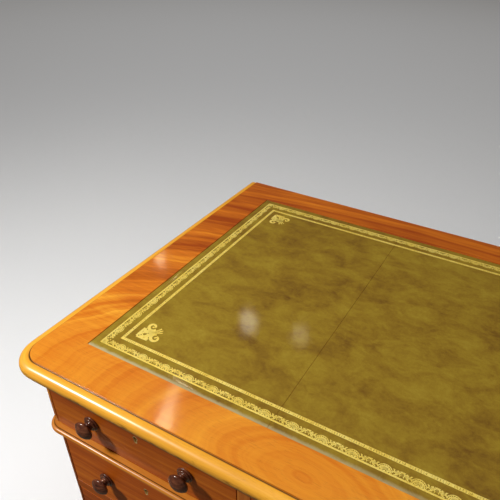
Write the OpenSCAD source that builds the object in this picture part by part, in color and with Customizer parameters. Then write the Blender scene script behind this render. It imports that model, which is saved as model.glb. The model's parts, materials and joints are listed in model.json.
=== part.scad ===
// A twin-pedestal writing desk: a leather-topped frieze section with three drawers
// stands on two pedestals of three drawers each. Origin at the middle of the floor
// rectangle, +Z up, +X to the sitter's right, +Y towards the back.

/* [Overall] */
// Width of the top
desk_w = 1315; // [1100:5:1600]
// Depth of the top
desk_d = 684; // [570:2:830]
// Height of the writing surface above the floor
desk_h = 762; // [700:2:920]

/* [Top] */
// Thickness of the top board
top_t = 28; // [26:1:40]
// How far the nosing stands out from the flat field
nosing_out = 17.5; // [15:0.5:26]
// Radius of the field's front corners
field_r = 30; // [10:1:50]
// How far the nosing overhangs the frieze at the front and the sides
overhang = 31; // [25:0.5:45]
// How far the top overhangs the frieze at the back
back_overhang = 10; // [0:1:20]
// Wooden margin between the leather and the nosing at the front and the sides
leather_margin = 65; // [40:1:90]
// Wooden margin between the leather and the back edge
leather_back_margin = 64; // [40:1:90]
// Thickness of the leather
leather_t = 1.5; // [1:0.1:3]

/* [Frieze] */
// Thickness of the frieze ends and the pedestal sides
side_t = 18; // [16:1:24]
// Width of the case edge left showing beside a lipped drawer front
edge_strip = 5; // [3:0.5:10]
// Width of each end section of the frieze, from its outer face to the middle drawer
frieze_section_w = 363; // [300:1:440]
// Thickness of the two dividers between the frieze drawers
divider_t = 20; // [16:1:26]
// Height of the rail between the top and the frieze drawers
top_rail_h = 27; // [15:1:35]
// Depth of the front and rear top rails
top_rail_d = 70; // [40:1:100]
// Height of the frieze drawer openings
frieze_drawer_h = 93; // [75:1:112]
// Thickness of the board that carries the frieze drawers
base_t = 24; // [24:1:32]
// Thickness of the frieze's back board
frieze_back_t = 12; // [8:1:18]
// How far the waist moulding stands out from the frieze
waist_out = 14.3; // [12.5:0.1:20]

/* [Pedestals] */
// Width of each pedestal
ped_w = 345; // [280:1:420]
// How far the pedestals are set in from the frieze
ped_inset = 1.5; // [0:0.5:10]
// Thickness of the board that closes a pedestal at the top
ped_top_t = 10; // [8:1:20]
// Height of the top drawer's opening
ped_drawer1_h = 120; // [90:1:140]
// Height of the middle drawer's opening
ped_drawer2_h = 140; // [110:1:170]
// Thickness of the rails between the drawers
blade_t = 20; // [15:1:24]
// Depth of the rails between the drawers
blade_d = 60; // [50:1:90]
// Width of the runners that carry the drawers
runner_w = 30; // [22:1:45]
// Thickness of the dustboards between the runners
dustboard_t = 6; // [4:1:10]
// Thickness of the bottom board
bottom_t = 18; // [15:1:24]
// Thickness of the pedestal's back
ped_back_t = 18; // [14:1:24]
// Width of the frame round the sunk panel of the back
back_frame_w = 60; // [40:1:80]
// Depth of the sunk panel of the back
back_sunk = 6; // [3:0.5:8]

/* [Plinth] */
// Height of the plinth
plinth_h = 100; // [80:1:130]
// How far the plinth stands out from the pedestal
plinth_out = 12; // [11:0.5:18]
// How far the plinth reaches in under the pedestal
plinth_in = 14; // [10:1:20]

/* [Drawers] */
// Thickness of a drawer front
front_t = 20; // [18:1:26]
// Thickness of the lip that laps over the case sides
lip_t = 9; // [7:0.5:11]
// Gap shown round each drawer front
front_gap = 2.2; // [0.8:0.1:2.5]
// Thickness of the drawer sides
drawer_side_t = 10; // [8:1:12]
// Thickness of the drawer backs
drawer_back_t = 9; // [7:1:12]
// Thickness of the drawer bottoms
drawer_bottom_t = 6; // [4:1:8]
// Height of a drawer bottom above the lower edge of its sides
bottom_lift = 7; // [6:0.5:10]
// Depth of the groove that holds the drawer bottom
groove_d = 4; // [3:0.5:5]
// How far the drawer sides stay below the top of the opening
side_drop = 5; // [3:0.5:8]
// How far a drawer back stays below the top of its sides
back_drop = 8; // [4:1:12]
// Room behind a closed drawer
rear_clear = 20; // [5:1:40]
// Rough distance between two dovetails
tail_pitch = 34; // [24:1:45]

/* [Knobs and locks] */
// Radius of a knob's head
knob_r = 16; // [13:0.5:18]
// How far a knob stands out from its drawer front
knob_out = 25; // [24:0.5:34]
// Radius of a knob's peg
peg_r = 5; // [4:0.5:6]
// Distance between the knobs of a narrow drawer
knob_gap = 172; // [140:1:200]
// Distance between the knobs of the wide middle drawer
wide_knob_gap = 300; // [220:1:360]
// Depth of the keyhole's eye below the drawer front's top edge
keyhole_drop = 25; // [20:0.5:30]
// Outer radius of the brass thread round the keyhole's eye
thread_r = 4.5; // [4:0.1:5.5]
// Wall of the brass thread
thread_wall = 1.3; // [1:0.1:1.8]
// Width of the lock case
lock_w = 60; // [50:1:75]
// Height of the lock case
lock_h = 40; // [36:1:48]
// Thickness of the lock case
lock_t = 10; // [8:0.5:11]

/* [Fits] */
// Running clearance under each drawer
run_clear = 0.4; // [0.3:0.1:0.8]
// Running clearance on each side of a drawer
side_clear = 1.5; // [0.6:0.1:2.5]
// Clearance between glued pieces
glue_gap = 0.1; // [0.05:0.05:0.2]
// Room between a closed drawer and what stops it
stop_clear = 0.5; // [0.3:0.1:1]

/* [Hidden] */
$fn = 96;
eps = 0.01;

// Outer limits and faces
top_x = desk_w / 2;
top_y = desk_d / 2;
case_x = top_x - overhang;
case_front = overhang - top_y;
case_back = top_y - back_overhang;
ped_out = case_x - ped_inset;
ped_in = ped_out - ped_w;
ped_front = case_front + ped_inset;
ped_back = case_back - ped_inset;

// Levels, from the top down
top_under = desk_h - top_t;
frieze_z1 = top_under - top_rail_h;
frieze_z0 = frieze_z1 - frieze_drawer_h;
base_under = frieze_z0 - base_t;
ped_z1 = base_under - ped_top_t;
blade1_z = ped_z1 - ped_drawer1_h - blade_t;
blade2_z = blade1_z - ped_drawer2_h - blade_t;
ped_z0 = plinth_h + bottom_t;

// How far a lipped drawer front laps over a case side, and its rebate
lap = side_t - edge_strip;
rebate_d = lip_t + stop_clear;

// Inner faces of the cases
frieze_in = case_x - side_t;
frieze_rear = case_back - frieze_back_t;
ped_rear = ped_back - ped_back_t;
divider_c = case_x - frieze_section_w + divider_t / 2;

// Nosing: a half round that springs from a quirk beside the field
nosing_drop = 1.6;
nosing_fillet = 3;
nosing_r = (top_t - nosing_drop - nosing_fillet) / 2;
quirk_w = 1.6;
quirk_d = 3.2;
nosing_fillet_in = 6;

// Waist moulding: flat ledge, quirk, small nose, fillet and cove
waist_nose_r = 4.5;
waist_nose_drop = 1;
waist_quirk_w = 1.6;
waist_quirk_d = 3;
waist_fillet = 2;
waist_fillet_in = 3.5;
waist_cove_r = 8;
waist_corner_r = 15;

// Plinth moulding: fillet and ovolo above the plain board
plinth_fillet_h = 3;
plinth_fillet_in = 2;
plinth_ovolo_r = plinth_out - plinth_fillet_in - 1;
plinth_band_h = 2;

// Locating pegs between pedestal and frieze
locator_r = 10;
locator_h = 12;
locator_inset = 80;
locator_clear = 0.4;

// Drawer stops
stop_w = 40;
stop_d = 20;
stop_h = 4.5;
stop_inset = 50;

// Dovetails
tail_share = 0.5;
tail_slope = 1 / 6;

// Keyhole
key_slot_r = 3.1;
key_slot_drop = 7.3;
thread_d = 4;
key_pin_r = 1.2;
lock_keyhole_d = 6;

WOOD = "#a65a1c";
FRONT_WOOD = "#9c5320";
NOSING_WOOD = "#d98a33";
INNER_WOOD = "#b98a5a";
KNOB_WOOD = "#40211c";
BRASS = "#b8923f";
LEATHER = "#857024";

// One drawer: name, opening in x, how far the front laps over the case on each side,
// opening in z, face, inner face of the case back, distance between the knobs
function drawer(name, x0, x1, lap0, lap1, z0, z1, face, rear, gap) =
    [name, x0, x1, lap0, lap1, z0, z1, face, rear, gap];
function d_name(d) = d[0];
function d_face(d) = d[7];
function d_gap(d) = d[9];
function d_z0(d) = d[5];
function d_top(d) = d[6] - front_gap;
function d_low(d) = d[5] + front_gap;
function d_lip0(d) = d[1] - d[3] + front_gap;
function d_lip1(d) = d[2] + d[4] - front_gap;
function d_x0(d) = d[1] + side_clear;
function d_x1(d) = d[2] - side_clear;
function d_mid(d) = (d_lip0(d) + d_lip1(d)) / 2;
function d_side_z0(d) = d[5] + run_clear;
function d_side_z1(d) = d[6] - side_drop;
function d_block_back(d) = d[7] + front_t;
function d_end(d) = d[8] - rear_clear;
function d_floor_z(d) = d_side_z0(d) + bottom_lift;
function d_floor_top(d) = d_floor_z(d) + drawer_bottom_t;

function frieze_drawer(name, x0, x1, lap0, lap1, gap) =
    drawer(name, x0, x1, lap0, lap1, frieze_z0, frieze_z1, case_front, frieze_rear, gap);
function ped_drawer(name, s, z0, z1) =
    drawer(name, s < 0 ? side_t - ped_out : ped_in + side_t,
           s < 0 ? -ped_in - side_t : ped_out - side_t,
           lap, lap, z0, z1, ped_front, ped_rear, knob_gap);

DRAWERS = [
    frieze_drawer("frieze_left_drawer", -frieze_in, -divider_c - divider_t / 2,
                  lap, 0, knob_gap),
    frieze_drawer("frieze_middle_drawer", divider_t / 2 - divider_c,
                  divider_c - divider_t / 2, 0, 0, wide_knob_gap),
    frieze_drawer("frieze_right_drawer", divider_c + divider_t / 2, frieze_in,
                  0, lap, knob_gap),
    ped_drawer("left_top_drawer", -1, blade1_z + blade_t, ped_z1),
    ped_drawer("left_middle_drawer", -1, blade2_z + blade_t, blade1_z),
    ped_drawer("left_bottom_drawer", -1, ped_z0, blade2_z),
    ped_drawer("right_top_drawer", 1, blade1_z + blade_t, ped_z1),
    ped_drawer("right_middle_drawer", 1, blade2_z + blade_t, blade1_z),
    ped_drawer("right_bottom_drawer", 1, ped_z0, blade2_z)
];

// Each pedestal's side name and the direction it lies in
PEDESTALS = [["left", -1], ["right", 1]];
DRAWER_PIECES = ["front", "box", "knobs", "lock"];
PEDESTAL_PIECES = ["outer_side", "inner_side", "back", "pedestal_top", "drawer_rails",
                   "bottom", "plinth"];

// A box between two corners
module block(lo, hi) {
    translate(lo)
        cube(hi - lo);
}

// Draws its children as they are for the right pedestal, mirrored for the left
module on_side(s) {
    mirror([s < 0 ? 1 : 0, 0, 0])
        children();
}

// The part of a profile outside the face it is planted on
module outside_face() {
    intersection() {
        children();
        translate([0, -desk_h])
            square([desk_w, 2 * desk_h]);
    }
}

// A length of moulding along the left side of a case, from y0 to y1.
// The profile's x is outwards and its y is up.
module side_length(x, y0, y1) {
    translate([x, y0, 0])
        rotate([90, 0, 180])
            linear_extrude(y1 - y0)
                children();
}

// Moulding round the front and both sides: a front length with its two round corners
// and short returns, and two side lengths that butt against it
module three_sided(x0, x1, y0, y1, corner_r, ret) {
    middle = (x0 + x1) / 2;
    translate([x1 - corner_r, y0, 0])
        rotate([90, 0, -90])
            linear_extrude(x1 - x0 - 2 * corner_r)
                children();
    for (m = [0, 1])
        translate([middle, 0, 0])
            mirror([m, 0, 0]) {
                translate([x0 - middle + corner_r, y0 + corner_r, 0])
                    rotate([0, 0, 180])
                        rotate_extrude(angle = 90)
                            translate([corner_r, 0])
                                outside_face()
                                    children();
                if (ret > 0)
                    side_length(x0 - middle, y0 + corner_r, y0 + corner_r + ret)
                        children();
                side_length(x0 - middle, y0 + corner_r + ret + glue_gap, y1)
                    children();
            }
}

// The outline of a board from -x to x and y0 to y1, with its front corners rounded
module round_front_outline(x, y0, y1, corner_r) {
    translate([-x, y0 + corner_r])
        square([2 * x, y1 - y0 - corner_r]);
    translate([corner_r - x, y0])
        square([2 * (x - corner_r), corner_r + eps]);
    for (s = [-1, 1])
        translate([s * (x - corner_r), y0 + corner_r])
            circle(corner_r);
}

module leather_block(z0, z1) {
    x = top_x - nosing_out - leather_margin;
    block([-x, nosing_out + leather_margin - top_y, z0],
          [x, top_y - leather_back_margin, z1]);
}

module top_board() {
    color(WOOD)
        difference() {
            translate([0, 0, top_under])
                linear_extrude(top_t)
                    round_front_outline(top_x - nosing_out, nosing_out - top_y, top_y,
                                        field_r);
            leather_block(desk_h - leather_t, desk_h + 1);
        }
}

// Section of the nosing, with x outwards from the field's edge
module nosing_profile() {
    centre_x = nosing_out - nosing_r;
    centre_z = desk_h - nosing_drop - nosing_r;
    translate([0, top_under + nosing_fillet])
        square([centre_x, top_t - nosing_fillet - quirk_d]);
    intersection() {
        translate([centre_x, centre_z])
            circle(nosing_r);
        translate([quirk_w, top_under])
            square([nosing_out, top_t]);
    }
    translate([0, top_under])
        square([nosing_out - nosing_fillet_in, nosing_fillet + eps]);
}

module top_nosing() {
    color(NOSING_WOOD)
        three_sided(nosing_out - top_x, top_x - nosing_out, nosing_out - top_y, top_y,
                    field_r, 0)
            nosing_profile();
}

module writing_leather() {
    color(LEATHER)
        leather_block(desk_h - leather_t, desk_h);
}

// A frieze end on the right, rebated at its front inner edge for the drawer lip
module frieze_end() {
    difference() {
        block([frieze_in, case_front, frieze_z0], [case_x, case_back, top_under]);
        block([frieze_in - 1, case_front - 1, frieze_z0 - 1],
              [frieze_in + lap, case_front + rebate_d, top_under + 1]);
    }
}

module frieze_left_end() {
    color(WOOD)
        on_side(-1)
            frieze_end();
}

module frieze_right_end() {
    color(WOOD)
        on_side(1)
            frieze_end();
}

module frieze_back() {
    color(WOOD)
        block([-frieze_in, frieze_rear, frieze_z0], [frieze_in, case_back, top_under]);
}

module frieze_dividers() {
    color(WOOD)
        for (s = [-1, 1])
            translate([s * divider_c, 0, 0])
                block([-divider_t / 2, case_front, frieze_z0],
                      [divider_t / 2, frieze_rear, frieze_z1]);
}

// A front rail from x0 to x1 between rebated sides, whose front edge fills the rebates
module lipped_rail(x0, x1, face, depth, z0, z1) {
    block([x0, face, z0], [x1, face + depth, z1]);
    block([x0 - lap, face, z0], [x1 + lap, face + rebate_d, z1]);
}

module frieze_top_rails() {
    color(WOOD) {
        lipped_rail(-frieze_in, frieze_in, case_front, top_rail_d, frieze_z1, top_under);
        block([-frieze_in, frieze_rear - top_rail_d, frieze_z1],
              [frieze_in, frieze_rear, top_under]);
    }
}

// Two small blocks under a drawer that its front closes against
module drawer_stops(d) {
    z = d_z0(d) + glue_gap;
    y = d_block_back(d) + stop_clear;
    for (x = [d_x0(d) + stop_inset, d_x1(d) - stop_inset - stop_w])
        block([x, y, z], [x + stop_w, y + stop_d, d_z0(d) + stop_h]);
}

module locators(r, h) {
    for (y = [ped_front + locator_inset, ped_rear - locator_inset])
        translate([(ped_in + ped_out) / 2, y, base_under])
            cylinder(r = r, h = h);
}

module frieze_base() {
    color(WOOD) {
        difference() {
            translate([0, 0, base_under])
                linear_extrude(base_t)
                    round_front_outline(case_x, case_front, case_back, waist_corner_r);
            for (s = [-1, 1])
                on_side(s)
                    translate([0, 0, -eps])
                        locators(locator_r + locator_clear, locator_h + 2);
        }
        for (i = [0:2])
            drawer_stops(DRAWERS[i]);
    }
}

// Section of the waist moulding, with x outwards from the frieze's face
module waist_profile() {
    nose_x = waist_out - waist_nose_r;
    nose_z = frieze_z0 - waist_nose_drop - waist_nose_r;
    fillet_z = nose_z - waist_nose_r - waist_fillet;
    quirk_x = nose_x - waist_quirk_w;
    edge = waist_out - waist_fillet_in;
    translate([0, nose_z])
        square([quirk_x, frieze_z0 - nose_z]);
    translate([0, nose_z - waist_nose_r])
        square([nose_x, frieze_z0 - waist_quirk_d - nose_z + waist_nose_r]);
    intersection() {
        translate([nose_x, nose_z])
            circle(waist_nose_r);
        translate([nose_x, nose_z - waist_nose_r])
            square(2 * waist_nose_r);
    }
    intersection() {
        translate([nose_x, nose_z])
            circle(waist_nose_r);
        translate([quirk_x + waist_quirk_w / 2, nose_z])
            square(2 * waist_nose_r);
    }
    translate([0, fillet_z])
        square([edge, waist_fillet + eps]);
    translate([0, base_under])
        square([edge - waist_cove_r, fillet_z - base_under]);
    difference() {
        translate([0, fillet_z - waist_cove_r])
            square([edge, waist_cove_r + eps]);
        translate([edge, fillet_z - waist_cove_r])
            circle(waist_cove_r);
    }
}

module waist_moulding() {
    color(NOSING_WOOD)
        three_sided(-case_x, case_x, case_front, case_back, waist_corner_r, 0)
            waist_profile();
}

// One side of the right pedestal, rebated at its front inner edge
module pedestal_side(x0, x1, rebate_x0, rebate_x1) {
    difference() {
        block([x0, ped_front, plinth_h], [x1, ped_back, base_under]);
        block([rebate_x0, ped_front - 1, plinth_h - 1],
              [rebate_x1, ped_front + rebate_d, base_under + 1]);
    }
}

module outer_side() {
    color(WOOD)
        pedestal_side(ped_out - side_t, ped_out, ped_out - side_t - 1,
                      ped_out - edge_strip);
}

module inner_side() {
    color(WOOD)
        pedestal_side(ped_in, ped_in + side_t, ped_in + edge_strip, ped_in + side_t + 1);
}

// The pedestal's back board, with a panel sunk into its outer face
module pedestal_back() {
    color(WOOD)
        difference() {
            block([ped_in + side_t, ped_rear, plinth_h],
                  [ped_out - side_t, ped_back, base_under]);
            block([ped_in + side_t + back_frame_w, ped_back - back_sunk,
                   plinth_h + back_frame_w],
                  [ped_out - side_t - back_frame_w, ped_back + 1,
                   base_under - back_frame_w]);
        }
}

// A board between the pedestal's sides that reaches from front to back
module pedestal_board(z0, z1) {
    lipped_rail(ped_in + side_t, ped_out - side_t, ped_front, ped_rear - ped_front,
                z0, z1);
}

module pedestal_top() {
    color(WOOD) {
        pedestal_board(ped_z1, base_under);
        translate([0, 0, glue_gap])
            locators(locator_r, locator_h);
    }
}

module pedestal_bottom(d) {
    color(WOOD) {
        pedestal_board(plinth_h, ped_z0);
        drawer_stops(d);
    }
}

// A rail with its two runners, its dustboard and the stops of the drawer above it
module drawer_rail(z, d) {
    x0 = ped_in + side_t;
    x1 = ped_out - side_t;
    y = ped_front + blade_d + glue_gap;
    lipped_rail(x0, x1, ped_front, blade_d, z, z + blade_t);
    for (x = [x0, x1 - runner_w])
        block([x, y, z], [x + runner_w, ped_rear, z + blade_t]);
    block([x0 + runner_w + glue_gap, y, z + (blade_t - dustboard_t) / 2],
          [x1 - runner_w - glue_gap, ped_rear, z + (blade_t + dustboard_t) / 2]);
    drawer_stops(d);
}

module drawer_rails(upper, middle) {
    color(INNER_WOOD) {
        drawer_rail(blade1_z, upper);
        drawer_rail(blade2_z, middle);
    }
}

// Section of the plinth, with x outwards from the pedestal's face
module plinth_profile() {
    band_z = plinth_h - plinth_band_h;
    ovolo_z = band_z - plinth_ovolo_r;
    fillet_z = ovolo_z - plinth_fillet_h;
    translate([-plinth_in, 0])
        square([plinth_in + plinth_out, fillet_z]);
    translate([-plinth_in, fillet_z - eps])
        square([plinth_in + plinth_out - plinth_fillet_in, plinth_fillet_h + eps]);
    translate([-plinth_in, ovolo_z - eps])
        square([plinth_in + 1, plinth_h - ovolo_z + eps]);
    intersection() {
        translate([1, ovolo_z])
            circle(plinth_ovolo_r);
        translate([0, ovolo_z])
            square(plinth_ovolo_r + 1);
    }
}

module plinth() {
    color(WOOD) {
        three_sided(ped_in, ped_out, ped_front, ped_back, 0, plinth_in)
            plinth_profile();
        block([ped_in + plinth_in + glue_gap, ped_back - plinth_in, 0],
              [ped_out - plinth_in - glue_gap, ped_back, plinth_h]);
    }
}

// Dovetails that point along the length, between z0 and z1 and from x = 0 to thick.
// grow widens them on every side, for the sockets that take them.
module dovetails(z0, z1, length, thick, grow) {
    count = max(2, round((z1 - z0) / tail_pitch));
    pitch = (z1 - z0) / count;
    half = pitch * tail_share / 2 + grow;
    wide = half + abs(length) * tail_slope;
    for (i = [0:count - 1])
        translate([0, 0, z0 + pitch * (i + 0.5)])
            rotate([90, 0, 90])
                linear_extrude(thick)
                    polygon([[0, -half], [0, half], [length, wide], [length, -wide]]);
}

// The two sides of a drawer box mirror each other about its middle
module both_ends(d) {
    middle = (d_x0(d) + d_x1(d)) / 2;
    for (m = [0, 1])
        translate([middle, 0, 0])
            mirror([m, 0, 0])
                translate([d_x0(d) - middle, 0, 0])
                    children();
}

// The keyhole's outline, drawn facing the front, grown by a wall
module keyhole_outline(wall) {
    slot_r = key_slot_r - thread_wall + wall;
    circle(thread_r - thread_wall + wall);
    translate([-slot_r, -key_slot_drop])
        square([2 * slot_r, key_slot_drop]);
    translate([0, -key_slot_drop])
        circle(slot_r);
}

// The keyhole's shape in a drawer front, from the depth y0 to y1 behind its face
module keyhole_prism(d, wall, y0, y1) {
    translate([d_mid(d), d_face(d) + y1, d_top(d) - keyhole_drop])
        rotate([90, 0, 0])
            linear_extrude(y1 - y0)
                keyhole_outline(wall);
}

module at_knobs(d) {
    for (s = [-1, 1])
        translate([d_mid(d) + s * d_gap(d) / 2, d_face(d), (d_low(d) + d_top(d)) / 2])
            rotate([90, 0, 0])
                children();
}

module lock_block(d, grow) {
    y1 = d_block_back(d);
    block([d_mid(d) - lock_w / 2 - grow, y1 - lock_t - grow, d_top(d) - lock_h - grow],
          [d_mid(d) + lock_w / 2 + grow, y1 + grow, d_top(d) + grow]);
}

// A lipped drawer front with its bores, keyhole, lock pocket, sockets and groove
module drawer_front(d) {
    y = d_block_back(d);
    color(FRONT_WOOD)
        difference() {
            union() {
                block([d_lip0(d), d_face(d), d_low(d)],
                      [d_lip1(d), d_face(d) + lip_t, d_top(d)]);
                block([d_x0(d), d_face(d), d_low(d)], [d_x1(d), y, d_top(d)]);
            }
            at_knobs(d)
                translate([0, 0, -front_t - 1])
                    cylinder(r = peg_r + glue_gap, h = front_t + 2);
            keyhole_prism(d, thread_wall + glue_gap, -1, thread_d + glue_gap);
            keyhole_prism(d, 0, 0, front_t - lock_t);
            lock_block(d, glue_gap);
            both_ends(d)
                translate([-eps, y, 0])
                    dovetails(d_low(d), d_side_z1(d), lip_t - front_t,
                              drawer_side_t + glue_gap + eps, glue_gap);
            block([d_x0(d) + drawer_side_t, y - groove_d - glue_gap,
                   d_floor_z(d) - glue_gap],
                  [d_x1(d) - drawer_side_t, y + 1, d_floor_top(d) + glue_gap]);
        }
}

// One side of a drawer: dovetailed at both ends and grooved for the bottom
module drawer_side(d) {
    y0 = d_block_back(d) + glue_gap;
    y1 = d_end(d);
    back_z0 = d_floor_top(d);
    back_z1 = d_side_z1(d) - back_drop;
    difference() {
        union() {
            block([0, y0, d_side_z0(d)], [drawer_side_t, y1, d_side_z1(d)]);
            translate([0, y0, 0])
                dovetails(d_low(d), d_side_z1(d), lip_t - front_t, drawer_side_t, 0);
        }
        difference() {
            block([-1, y1 - drawer_back_t, back_z0], [drawer_side_t + 1, y1 + 1, back_z1]);
            translate([-2, y1 - drawer_back_t, 0])
                dovetails(back_z0, back_z1, drawer_back_t, drawer_side_t + 4, 0);
        }
        block([drawer_side_t - groove_d - glue_gap, y0 - 1, d_floor_z(d) - glue_gap],
              [drawer_side_t + 1, y1 + 1, d_floor_top(d) + glue_gap]);
    }
}

module drawer_box(d) {
    x0 = d_x0(d) + drawer_side_t;
    x1 = d_x1(d) - drawer_side_t;
    y0 = d_block_back(d) + glue_gap;
    y1 = d_end(d);
    back_z0 = d_floor_top(d) + glue_gap;
    back_z1 = d_side_z1(d) - back_drop - glue_gap;
    color(INNER_WOOD) {
        both_ends(d)
            drawer_side(d);
        difference() {
            block([d_x0(d), y1 - drawer_back_t + glue_gap, back_z0],
                  [d_x1(d), y1, back_z1]);
            both_ends(d)
                translate([-1, y1 - drawer_back_t, 0])
                    dovetails(d_floor_top(d), back_z1 + glue_gap, drawer_back_t + eps,
                              drawer_side_t + glue_gap + 1, glue_gap);
        }
        block([x0 - groove_d, y0, d_floor_z(d)], [x1 + groove_d, y1, d_floor_top(d)]);
        block([x0 + glue_gap, y0 - groove_d, d_floor_z(d)],
              [x1 - glue_gap, y0 + eps, d_floor_top(d)]);
    }
}

// Points on an arc about [x, z], from angle a to angle b
function arc(x, z, r, a, b, steps = 8) =
    [for (i = [0:steps]) let(t = a + (b - a) * i / steps) [x + r * cos(t), z + r * sin(t)]];

// A turned knob standing on z = 0, with its peg below: a beaded flange, a ringed neck
// and a domed head with a small bead behind its rim
module knob(peg) {
    flange_r = knob_r - 2.5;
    bead_r = 1.5;
    small_bead_r = 1.1;
    small_bead_x = flange_r - bead_r - 2.4;
    neck_r = 6.3;
    hollow_r = 1.6;
    ring_r = 1.3;
    throat_r = 2.2;
    rim_r = 2.4;
    back_bead_r = 1;
    dome_r = 1.3 * knob_r;
    dome_edge = knob_r - rim_r / 2;
    dome_half = asin(dome_edge / dome_r);
    rim_z = knob_out - dome_r * (1 - cos(dome_half)) - rim_r * sin(60);
    back_bead_z = rim_z - rim_r + 0.2;
    bead_top = 2 * (bead_r + small_bead_r);
    hollow_z = bead_top + 1;
    ring_z = hollow_z + 2.5;
    throat_z = ring_z + 2.9;
    rotate_extrude()
        polygon(concat(
            [[0, -peg], [peg_r, -peg], [peg_r, 0]],
            arc(flange_r - bead_r, bead_r, bead_r, -90, 90),
            arc(small_bead_x, 2 * bead_r + small_bead_r, small_bead_r, -90, 60),
            arc(neck_r + hollow_r, hollow_z, hollow_r, 225, 150),
            arc(neck_r, ring_z, ring_r, -80, 80),
            arc(neck_r + throat_r, throat_z, throat_r, 215, 130, 5),
            [[dome_edge - 4.5, back_bead_z - back_bead_r]],
            arc(knob_r - 2.6, back_bead_z, back_bead_r, -90, 40, 5),
            arc(knob_r - rim_r, rim_z, rim_r, -40, 60),
            arc(0, knob_out - dome_r, dome_r, 90 - dome_half, 90, 12)
        ));
}

module drawer_knobs(d) {
    color(KNOB_WOOD)
        at_knobs(d)
            translate([0, 0, glue_gap])
                knob(front_t);
}

// The brass thread let into the face, and the lock case let into the back, with a
// keyhole and the pin that the key turns on
module drawer_lock(d) {
    color(BRASS) {
        difference() {
            keyhole_prism(d, thread_wall, 0, thread_d);
            keyhole_prism(d, 0, -1, thread_d + 1);
        }
        difference() {
            lock_block(d, 0);
            keyhole_prism(d, 0, 0, front_t - lock_t + lock_keyhole_d);
        }
        translate([d_mid(d), d_face(d) + front_t - lock_t + lock_keyhole_d + eps,
                   d_top(d) - keyhole_drop])
            rotate([90, 0, 0])
                cylinder(r = key_pin_r, h = lock_keyhole_d);
    }
}

top_board();
top_nosing();
writing_leather();
frieze_left_end();
frieze_right_end();
frieze_back();
frieze_dividers();
frieze_top_rails();
frieze_base();
waist_moulding();
for (i = [0:1]) {
    name = PEDESTALS[i][0];
    s = PEDESTALS[i][1];
    // The right pedestal's drawers, which on_side() mirrors for the left
    upper = DRAWERS[6];
    middle = DRAWERS[7];
    lower = DRAWERS[8];
    on_side(s) outer_side();
    on_side(s) inner_side();
    on_side(s) pedestal_back();
    on_side(s) pedestal_top();
    on_side(s) drawer_rails(upper, middle);
    on_side(s) pedestal_bottom(lower);
    on_side(s) plinth();
}
for (d = DRAWERS) {
    drawer_front(d);
    drawer_box(d);
    drawer_knobs(d);
    drawer_lock(d);
}
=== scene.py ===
"""The looks of a twin-pedestal writing desk: French-polished wood, a gilt-tooled leather top,
turned knobs, brass locks and dovetailed drawers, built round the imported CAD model."""
import json
import math

import bmesh
import bpy
from mathutils import Matrix, Vector, noise

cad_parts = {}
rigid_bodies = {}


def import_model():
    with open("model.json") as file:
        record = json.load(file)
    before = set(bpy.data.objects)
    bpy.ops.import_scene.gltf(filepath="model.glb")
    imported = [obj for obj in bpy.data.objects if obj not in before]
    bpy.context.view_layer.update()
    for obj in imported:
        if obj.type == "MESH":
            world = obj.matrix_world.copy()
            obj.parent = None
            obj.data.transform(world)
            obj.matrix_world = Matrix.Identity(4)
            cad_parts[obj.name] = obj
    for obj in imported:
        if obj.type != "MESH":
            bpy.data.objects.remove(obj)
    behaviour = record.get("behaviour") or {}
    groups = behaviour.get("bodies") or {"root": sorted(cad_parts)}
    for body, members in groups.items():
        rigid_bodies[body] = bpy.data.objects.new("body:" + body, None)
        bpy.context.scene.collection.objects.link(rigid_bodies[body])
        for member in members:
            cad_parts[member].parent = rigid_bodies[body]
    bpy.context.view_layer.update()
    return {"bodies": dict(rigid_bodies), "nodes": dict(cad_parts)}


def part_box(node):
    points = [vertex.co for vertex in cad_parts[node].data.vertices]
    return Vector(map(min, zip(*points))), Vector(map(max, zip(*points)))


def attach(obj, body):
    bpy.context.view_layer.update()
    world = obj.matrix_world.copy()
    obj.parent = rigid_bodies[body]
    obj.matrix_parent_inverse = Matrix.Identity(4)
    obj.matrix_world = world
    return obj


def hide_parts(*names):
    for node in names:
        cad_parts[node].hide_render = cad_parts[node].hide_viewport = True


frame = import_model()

MM = 0.001

# ---- Places taken from the CAD model ----
FIELD_LO, FIELD_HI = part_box("top_board")
TOP_LO, TOP_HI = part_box("top_nosing")
LEATHER_LO, LEATHER_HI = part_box("writing_leather")
CASE_LO, CASE_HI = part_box("frieze_base")
WAIST_LO, WAIST_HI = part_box("waist_moulding")
SIDES = ("left", "right")
DRAWERS = [b for b in frame["bodies"] if b.endswith("_drawer")]
NOSING_OUT = FIELD_LO.x - TOP_LO.x
NOSING_DROP = 1.6 * MM      # from the field's top down to the nosing's
TOP_Z = TOP_HI.z + NOSING_DROP
FIELD_R = 30 * MM           # corner of the field, seen from above
WAIST_R = 15 * MM           # corner of the frieze's base board
PLINTH_T = 14 * MM
GLUE_GAP = 0.1 * MM
SOFT_EDGE = 0.5 * MM


# ---- Camera and studio ----
CAMERA_AT = Vector((-0.0604, -0.6441, 1.307))
HEADING = math.radians(28.44)
LOOK_DOWN = math.radians(34.55)
TILT = math.radians(-1.36)
LENS = 38.5
SHIFT = (-0.0433, 0.0356)
LAMP_Z = 2.36
LAMP_AIM = (-0.4, -0.1, 0.76)


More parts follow.
